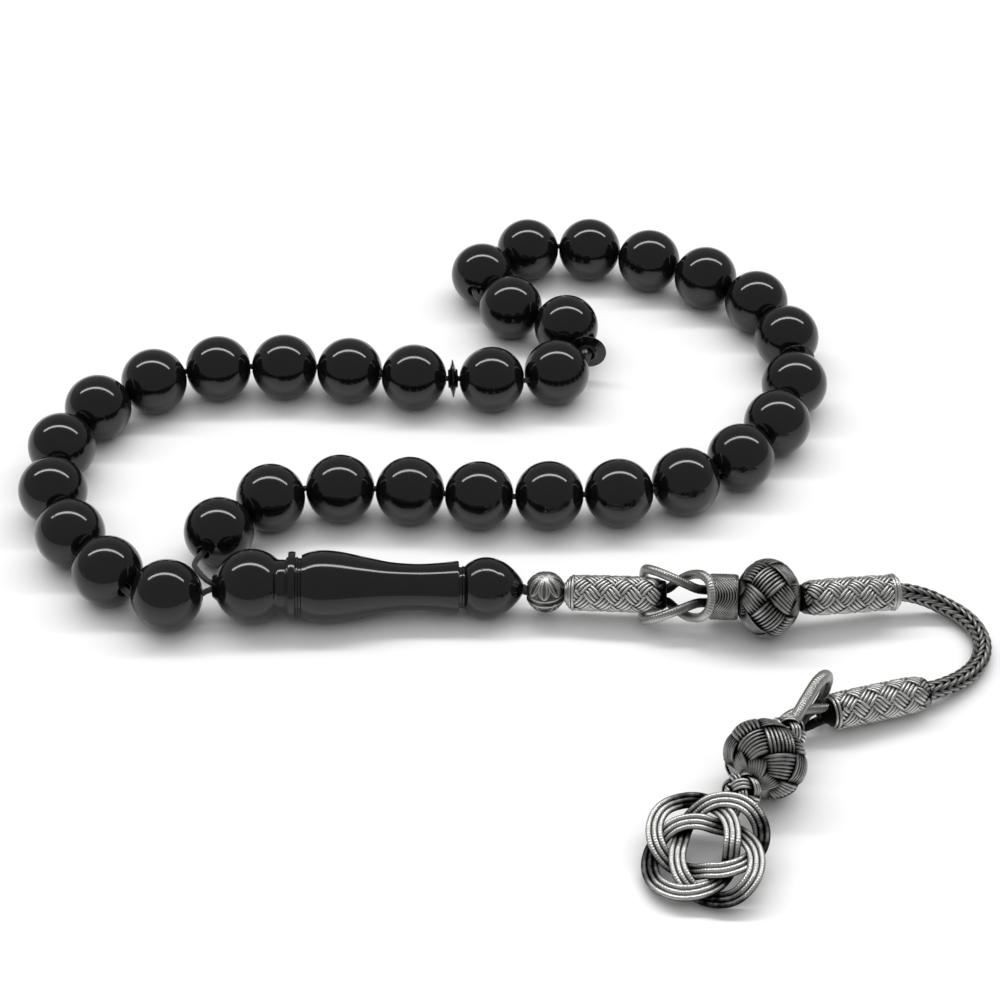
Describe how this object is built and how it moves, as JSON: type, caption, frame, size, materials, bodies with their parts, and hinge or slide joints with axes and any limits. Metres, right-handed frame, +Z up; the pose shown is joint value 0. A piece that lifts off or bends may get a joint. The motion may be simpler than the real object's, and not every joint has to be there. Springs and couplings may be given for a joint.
{
  "type": "misbaha prayer beads",
  "caption": "Round polished black beads and thin marker discs on a thread, joined at a turned leader bead, with a woven silver tassel.",
  "frame": {"origin": "middle of the footprint, on the surface that the beads lie on", "axes": "+Z up; +X from the leader bead's nose towards the tassel; +Y from the pendant towards the far end of the bead loop"},
  "size_m": [0.1374, 0.1414, 0.0112],
  "materials": {
    "black_stone": "polished jet, a light black stone with the density of a hard plastic",
    "black_thread": "waxed twisted thread",
    "oxidised_silver": "woven silver wire, oxidised dark in its recesses and rubbed bright on top",
    "core_bead": "plain turned wood, hidden inside the woven balls"
  },
  "bodies": {
    "leader": {"leader": "black_stone", "strand_thread": "black_thread"},
    "tassel_head": {"tail_thread": "black_thread", "thread_knot": "black_thread", "cap_bead_upper": "oxidised_silver", "cap_bead_lower": "oxidised_silver", "sleeve_a": "oxidised_silver", "link_loop_a": "oxidised_silver"},
    "tassel_ball": {"link_loop_b": "oxidised_silver", "neck_wrap": "oxidised_silver", "ball_a_core": "core_bead", "ball_a_weave": "oxidised_silver", "sleeve_b": "oxidised_silver", "foxtail_chain": "oxidised_silver"},
    "tassel_drop": {"sleeve_c": "oxidised_silver", "drop_loop": "oxidised_silver"},
    "pendant": {"drop_ring": "oxidised_silver", "collar_knot_1": "oxidised_silver", "ball_b_core": "core_bead", "ball_b_weave": "oxidised_silver", "collar_knot_2": "oxidised_silver", "clover_pendant": "oxidised_silver"},
    "bead_01": {"bead_01": "black_stone"},
    "bead_02": {"bead_02": "black_stone"},
    "bead_03": {"bead_03": "black_stone"},
    "bead_04": {"bead_04": "black_stone"},
    "bead_05": {"bead_05": "black_stone"},
    "bead_06": {"bead_06": "black_stone"},
    "bead_07": {"bead_07": "black_stone"},
    "bead_08": {"bead_08": "black_stone"},
    "bead_09": {"bead_09": "black_stone"},
    "bead_10": {"bead_10": "black_stone"},
    "bead_11": {"bead_11": "black_stone"},
    "bead_12": {"bead_12": "black_stone"},
    "bead_13": {"bead_13": "black_stone"},
    "bead_14": {"bead_14": "black_stone"},
    "bead_15": {"bead_15": "black_stone"},
    "bead_16": {"bead_16": "black_stone"},
    "bead_17": {"bead_17": "black_stone"},
    "bead_18": {"bead_18": "black_stone"},
    "bead_19": {"bead_19": "black_stone"},
    "bead_20": {"bead_20": "black_stone"},
    "bead_21": {"bead_21": "black_stone"},
    "bead_22": {"bead_22": "black_stone"},
    "bead_23": {"bead_23": "black_stone"},
    "bead_24": {"bead_24": "black_stone"},
    "bead_25": {"bead_25": "black_stone"},
    "bead_26": {"bead_26": "black_stone"},
    "bead_27": {"bead_27": "black_stone"},
    "bead_28": {"bead_28": "black_stone"},
    "bead_29": {"bead_29": "black_stone"},
    "bead_30": {"bead_30": "black_stone"},
    "bead_31": {"bead_31": "black_stone"},
    "bead_32": {"bead_32": "black_stone"},
    "bead_33": {"bead_33": "black_stone"},
    "marker_disc_1": {"marker_disc_1": "black_stone"},
    "marker_disc_2": {"marker_disc_2": "black_stone"},
    "marker_disc_3": {"marker_disc_3": "black_stone"}
  },
  "joints": [
    {"name": "tassel_swing", "type": "hinge", "parent": "leader", "child": "tassel_head", "pos_m": [0.0045, -0.0158, 0.00408], "axis": [0, 0, 1], "range_deg": [-20, 20], "deforming": ["tail_thread"]},
    {"name": "link_slack", "type": "slide", "parent": "tassel_head", "child": "tassel_ball", "axis": [0.9952, -0.0878, 0.0423], "range_m": [-0.0005, 0]},
    {"name": "chain_bend", "type": "hinge", "parent": "tassel_ball", "child": "tassel_drop", "pos_m": [0.05972, -0.02482, 0.00201], "axis": [0, 0, 1], "range_deg": [-10, 30], "deforming": ["foxtail_chain"]},
    {"name": "pendant_swing", "type": "hinge", "parent": "tassel_drop", "child": "pendant", "pos_m": [0.04122, -0.04031, 0.00421], "axis": [0, 0, 1], "range_deg": [0, 25]},
    {"name": "bead_33_slide", "type": "slide", "parent": "leader", "child": "bead_33", "axis": [-0.3804, -0.9248, 0], "range_m": [0, 0.002]},
    {"name": "marker_disc_1_spin", "type": "hinge", "parent": "leader", "child": "marker_disc_1", "pos_m": [-0.00605, 0.03116, 0.00494], "axis": [0.9987, 0.05, 0], "continuous": true},
    {"name": "marker_disc_2_spin", "type": "hinge", "parent": "leader", "child": "marker_disc_2", "pos_m": [0.01479, 0.03803, 0.00494], "axis": [0.1417, 0.9899, 0], "continuous": true},
    {"name": "marker_disc_3_spin", "type": "hinge", "parent": "leader", "child": "marker_disc_3", "pos_m": [0.04693, 0.03578, 0.00494], "axis": [0.055, -0.9985, 0], "continuous": true},
    {"name": "bead_01_spin", "type": "hinge", "parent": "leader", "child": "bead_01", "pos_m": [-0.04493, -0.01783, 0.00494], "axis": [-0.9992, -0.0389, 0], "continuous": true},
    {"name": "bead_02_spin", "type": "hinge", "parent": "leader", "child": "bead_02", "pos_m": [-0.05376, -0.01286, 0.00494], "axis": [-0.5838, 0.8119, 0], "continuous": true},
    {"name": "bead_03_spin", "type": "hinge", "parent": "leader", "child": "bead_03", "pos_m": [-0.06001, -0.00487, 0.00494], "axis": [-0.5822, 0.8131, 0], "continuous": true},
    {"name": "bead_04_spin", "type": "hinge", "parent": "leader", "child": "bead_04", "pos_m": [-0.06374, 0.00457, 0.00494], "axis": [-0.1786, 0.9839, 0], "continuous": true},
    {"name": "bead_05_spin", "type": "hinge", "parent": "leader", "child": "bead_05", "pos_m": [-0.06379, 0.01471, 0.00494], "axis": [0.189, 0.982, 0], "continuous": true},
    {"name": "bead_06_spin", "type": "hinge", "parent": "leader", "child": "bead_06", "pos_m": [-0.05954, 0.02392, 0.00494], "axis": [0.622, 0.783, 0], "continuous": true},
    {"name": "bead_07_spin", "type": "hinge", "parent": "leader", "child": "bead_07", "pos_m": [-0.05178, 0.03045, 0.00494], "axis": [0.8728, 0.488, 0], "continuous": true},
    {"name": "bead_08_spin", "type": "hinge", "parent": "leader", "child": "bead_08", "pos_m": [-0.0422, 0.03369, 0.00494], "axis": [0.9926, 0.1217, 0], "continuous": true},
    {"name": "bead_09_spin", "type": "hinge", "parent": "leader", "child": "bead_09", "pos_m": [-0.03206, 0.0341, 0.00494], "axis": [1, -0.0099, 0], "continuous": true},
    {"name": "bead_10_spin", "type": "hinge", "parent": "leader", "child": "bead_10", "pos_m": [-0.02197, 0.03325, 0.00494], "axis": [0.9797, -0.2004, 0], "continuous": true},
    {"name": "bead_11_spin", "type": "hinge", "parent": "leader", "child": "bead_11", "pos_m": [-0.01201, 0.03154, 0.00494], "axis": [0.9961, -0.0882, 0], "continuous": true},
    {"name": "bead_12_spin", "type": "hinge", "parent": "leader", "child": "bead_12", "pos_m": [-0.00008, 0.03095, 0.00494], "axis": [0.9985, -0.0541, 0], "continuous": true},
    {"name": "bead_13_spin", "type": "hinge", "parent": "leader", "child": "bead_13", "pos_m": [0.00989, 0.03277, 0.00494], "axis": [0.9039, 0.4278, 0], "continuous": true},
    {"name": "bead_14_spin", "type": "hinge", "parent": "leader", "child": "bead_14", "pos_m": [0.0116, 0.0445, 0.00494], "axis": [-0.7397, 0.6729, 0], "continuous": true},
    {"name": "bead_15_spin", "type": "hinge", "parent": "leader", "child": "bead_15", "pos_m": [0.00288, 0.04968, 0.00494], "axis": [-0.9421, 0.3354, 0], "continuous": true},
    {"name": "bead_16_spin", "type": "hinge", "parent": "leader", "child": "bead_16", "pos_m": [-0.00166, 0.05871, 0.00494], "axis": [0.2809, 0.9597, 0], "continuous": true},
    {"name": "bead_17_spin", "type": "hinge", "parent": "leader", "child": "bead_17", "pos_m": [0.00571, 0.06566, 0.00494], "axis": [0.9762, 0.2169, 0], "continuous": true},
    {"name": "bead_18_spin", "type": "hinge", "parent": "leader", "child": "bead_18", "pos_m": [0.01583, 0.06577, 0.00494], "axis": [0.9814, -0.1921, 0], "continuous": true},
    {"name": "bead_19_spin", "type": "hinge", "parent": "leader", "child": "bead_19", "pos_m": [0.02543, 0.06258, 0.00494], "axis": [0.8991, -0.4377, 0], "continuous": true},
    {"name": "bead_20_spin", "type": "hinge", "parent": "leader", "child": "bead_20", "pos_m": [0.03435, 0.05773, 0.00494], "axis": [0.8616, -0.5076, 0], "continuous": true},
    {"name": "bead_21_spin", "type": "hinge", "parent": "leader", "child": "bead_21", "pos_m": [0.04201, 0.05107, 0.00494], "axis": [0.6085, -0.7936, 0], "continuous": true},
    {"name": "bead_22_spin", "type": "hinge", "parent": "leader", "child": "bead_22", "pos_m": [0.04601, 0.04172, 0.00494], "axis": [0.1748, -0.9846, 0], "continuous": true},
    {"name": "bead_23_spin", "type": "hinge", "parent": "leader", "child": "bead_23", "pos_m": [0.04616, 0.02982, 0.00494], "axis": [-0.1688, -0.9856, 0], "continuous": true},
    {"name": "bead_24_spin", "type": "hinge", "parent": "leader", "child": "bead_24", "pos_m": [0.04275, 0.0203, 0.00494], "axis": [-0.4817, -0.8763, 0], "continuous": true},
    {"name": "bead_25_spin", "type": "hinge", "parent": "leader", "child": "bead_25", "pos_m": [0.0367, 0.01216, 0.00494], "axis": [-0.7093, -0.7049, 0], "continuous": true},
    {"name": "bead_26_spin", "type": "hinge", "parent": "leader", "child": "bead_26", "pos_m": [0.02827, 0.00656, 0.00494], "axis": [-0.9204, -0.3911, 0], "continuous": true},
    {"name": "bead_27_spin", "type": "hinge", "parent": "leader", "child": "bead_27", "pos_m": [0.01844, 0.00404, 0.00494], "axis": [-0.9964, -0.0853, 0], "continuous": true},
    {"name": "bead_28_spin", "type": "hinge", "parent": "leader", "child": "bead_28", "pos_m": [0.00831, 0.00347, 0.00494], "axis": [-0.9989, -0.0479, 0], "continuous": true},
    {"name": "bead_29_spin", "type": "hinge", "parent": "leader", "child": "bead_29", "pos_m": [-0.00183, 0.00343, 0.00494], "axis": [-0.9978, 0.0656, 0], "continuous": true},
    {"name": "bead_30_spin", "type": "hinge", "parent": "leader", "child": "bead_30", "pos_m": [-0.01189, 0.00445, 0.00494], "axis": [-0.9942, 0.1073, 0], "continuous": true},
    {"name": "bead_31_spin", "type": "hinge", "parent": "leader", "child": "bead_31", "pos_m": [-0.02205, 0.00495, 0.00494], "axis": [-0.9998, 0.0204, 0], "continuous": true},
    {"name": "bead_32_spin", "type": "hinge", "parent": "leader", "child": "bead_32", "pos_m": [-0.03201, 0.00289, 0.00494], "axis": [-0.8986, -0.4388, 0], "continuous": true}
  ]
}
